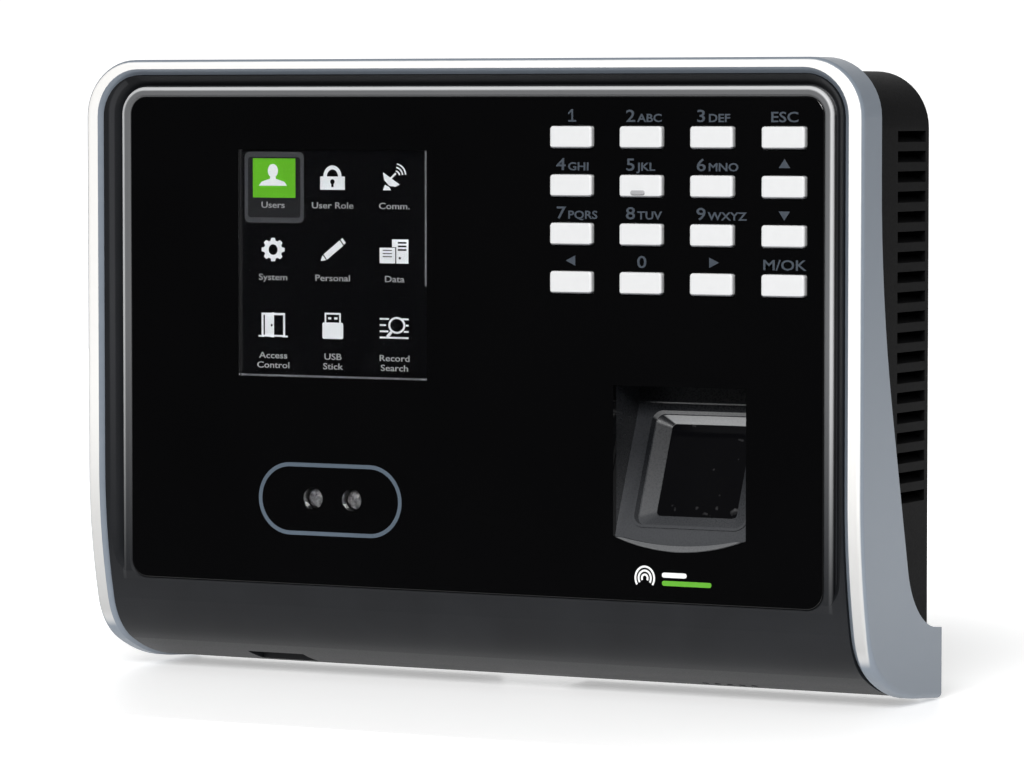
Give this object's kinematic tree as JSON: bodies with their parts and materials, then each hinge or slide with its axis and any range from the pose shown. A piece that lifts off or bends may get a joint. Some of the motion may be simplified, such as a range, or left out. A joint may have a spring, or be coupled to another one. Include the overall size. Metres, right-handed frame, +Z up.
{
  "type": "fingerprint scanner terminal",
  "caption": "Wall-mounted access terminal with a glossy panel, a colour display, a keypad, a face camera and a tilted fingerprint window.",
  "frame": {"origin": "centre of the wall plate's bolt pattern, on the plate's back face, against the wall", "axes": "+X to the right of a person facing the terminal, +Y into the wall, +Z up"},
  "size_m": [0.196, 0.044, 0.1416],
  "materials": {
    "charcoal_plastic": "fine satin texture",
    "silver_paint": "satin silver paint",
    "black_plastic": "satin",
    "black_gloss": "high gloss",
    "adhesive_tape": "matte",
    "clear_window": "polished",
    "display_glass": "polished",
    "white_plastic": "matte",
    "polyimide": "semi gloss",
    "circuit_board": "solder mask",
    "dome_steel": "bright",
    "ring_grey": "semi gloss",
    "dark_window": "polished",
    "lens_black": "semi gloss",
    "sensor_dark_glass": "polished",
    "prism_glass": "polished",
    "screw_steel": "plated",
    "shield_tin": "tin plate",
    "header_green": "matte",
    "button_red": "matte",
    "plate_steel": "zinc plated",
    "key_white": "pearl, semi gloss"
  },
  "bodies": {
    "wall_mount": {"wall_plate": "plate_steel"},
    "terminal": {"front_bezel": "charcoal_plastic", "side_trim": "silver_paint", "rear_cover": "black_plastic", "connector_bay": "black_plastic", "front_panel": "black_gloss", "panel_adhesive": "adhesive_tape", "display_window": "clear_window", "lcd_panel": "display_glass", "lcd_frame": "white_plastic", "lcd_ribbon": "polyimide", "keypad_board": "circuit_board", "keypad_ribbon": "polyimide", "dome_switches": "dome_steel", "camera_ring": "ring_grey", "camera_windows": "dark_window", "camera_lenses": "lens_black", "camera_board": "circuit_board", "ir_led_board": "circuit_board", "sensor_surround": "charcoal_plastic", "sensor_glass": "sensor_dark_glass", "sensor_prism": "prism_glass", "sensor_board": "circuit_board", "main_board": "circuit_board", "board_screws": "screw_steel", "case_screws": "screw_steel", "processor_shield": "shield_tin", "ethernet_jack": "shield_tin", "power_jack": "lens_black", "terminal_headers": "header_green", "usb_socket": "shield_tin", "speaker": "lens_black", "backup_battery": "shield_tin", "reset_switch": "lens_black", "tamper_switch": "lens_black"},
    "lock_screw": {"lock_screw": "screw_steel"},
    "key_1": {"key_1": "key_white"},
    "key_2": {"key_2": "key_white"},
    "key_3": {"key_3": "key_white"},
    "key_esc": {"key_esc": "key_white"},
    "key_4": {"key_4": "key_white"},
    "key_5": {"key_5": "key_white"},
    "key_6": {"key_6": "key_white"},
    "key_up": {"key_up": "key_white"},
    "key_7": {"key_7": "key_white"},
    "key_8": {"key_8": "key_white"},
    "key_9": {"key_9": "key_white"},
    "key_down": {"key_down": "key_white"},
    "key_left": {"key_left": "key_white"},
    "key_0": {"key_0": "key_white"},
    "key_right": {"key_right": "key_white"},
    "key_ok": {"key_ok": "key_white"},
    "tamper_plunger": {"tamper_plunger": "white_plastic"},
    "reset_button": {"reset_button": "button_red"}
  },
  "joints": [
    {"name": "hang_slide", "type": "slide", "parent": "wall_mount", "child": "terminal", "axis": [0, 0, 1], "range_m": [0, 0.008]},
    {"name": "lock_screw_slide", "type": "slide", "parent": "wall_mount", "child": "lock_screw", "axis": [0, 0, -1], "range_m": [0, 0.01]},
    {"name": "key_1_press", "type": "slide", "parent": "terminal", "child": "key_1", "axis": [0, 1, 0], "range_m": [0, 0.0008], "stiffness_N_per_m": 400},
    {"name": "key_2_press", "type": "slide", "parent": "terminal", "child": "key_2", "axis": [0, 1, 0], "range_m": [0, 0.0008], "stiffness_N_per_m": 400},
    {"name": "key_3_press", "type": "slide", "parent": "terminal", "child": "key_3", "axis": [0, 1, 0], "range_m": [0, 0.0008], "stiffness_N_per_m": 400},
    {"name": "key_esc_press", "type": "slide", "parent": "terminal", "child": "key_esc", "axis": [0, 1, 0], "range_m": [0, 0.0008], "stiffness_N_per_m": 400},
    {"name": "key_4_press", "type": "slide", "parent": "terminal", "child": "key_4", "axis": [0, 1, 0], "range_m": [0, 0.0008], "stiffness_N_per_m": 400},
    {"name": "key_5_press", "type": "slide", "parent": "terminal", "child": "key_5", "axis": [0, 1, 0], "range_m": [0, 0.0008], "stiffness_N_per_m": 400},
    {"name": "key_6_press", "type": "slide", "parent": "terminal", "child": "key_6", "axis": [0, 1, 0], "range_m": [0, 0.0008], "stiffness_N_per_m": 400},
    {"name": "key_up_press", "type": "slide", "parent": "terminal", "child": "key_up", "axis": [0, 1, 0], "range_m": [0, 0.0008], "stiffness_N_per_m": 400},
    {"name": "key_7_press", "type": "slide", "parent": "terminal", "child": "key_7", "axis": [0, 1, 0], "range_m": [0, 0.0008], "stiffness_N_per_m": 400},
    {"name": "key_8_press", "type": "slide", "parent": "terminal", "child": "key_8", "axis": [0, 1, 0], "range_m": [0, 0.0008], "stiffness_N_per_m": 400},
    {"name": "key_9_press", "type": "slide", "parent": "terminal", "child": "key_9", "axis": [0, 1, 0], "range_m": [0, 0.0008], "stiffness_N_per_m": 400},
    {"name": "key_down_press", "type": "slide", "parent": "terminal", "child": "key_down", "axis": [0, 1, 0], "range_m": [0, 0.0008], "stiffness_N_per_m": 400},
    {"name": "key_left_press", "type": "slide", "parent": "terminal", "child": "key_left", "axis": [0, 1, 0], "range_m": [0, 0.0008], "stiffness_N_per_m": 400},
    {"name": "key_0_press", "type": "slide", "parent": "terminal", "child": "key_0", "axis": [0, 1, 0], "range_m": [0, 0.0008], "stiffness_N_per_m": 400},
    {"name": "key_right_press", "type": "slide", "parent": "terminal", "child": "key_right", "axis": [0, 1, 0], "range_m": [0, 0.0008], "stiffness_N_per_m": 400},
    {"name": "key_ok_press", "type": "slide", "parent": "terminal", "child": "key_ok", "axis": [0, 1, 0], "range_m": [0, 0.0008], "stiffness_N_per_m": 400},
    {"name": "tamper_press", "type": "slide", "parent": "terminal", "child": "tamper_plunger", "axis": [0, -1, 0], "range_m": [0, 0.002], "stiffness_N_per_m": 200},
    {"name": "reset_press", "type": "slide", "parent": "terminal", "child": "reset_button", "axis": [0, -1, 0], "range_m": [0, 0.0005], "stiffness_N_per_m": 300}
  ]
}
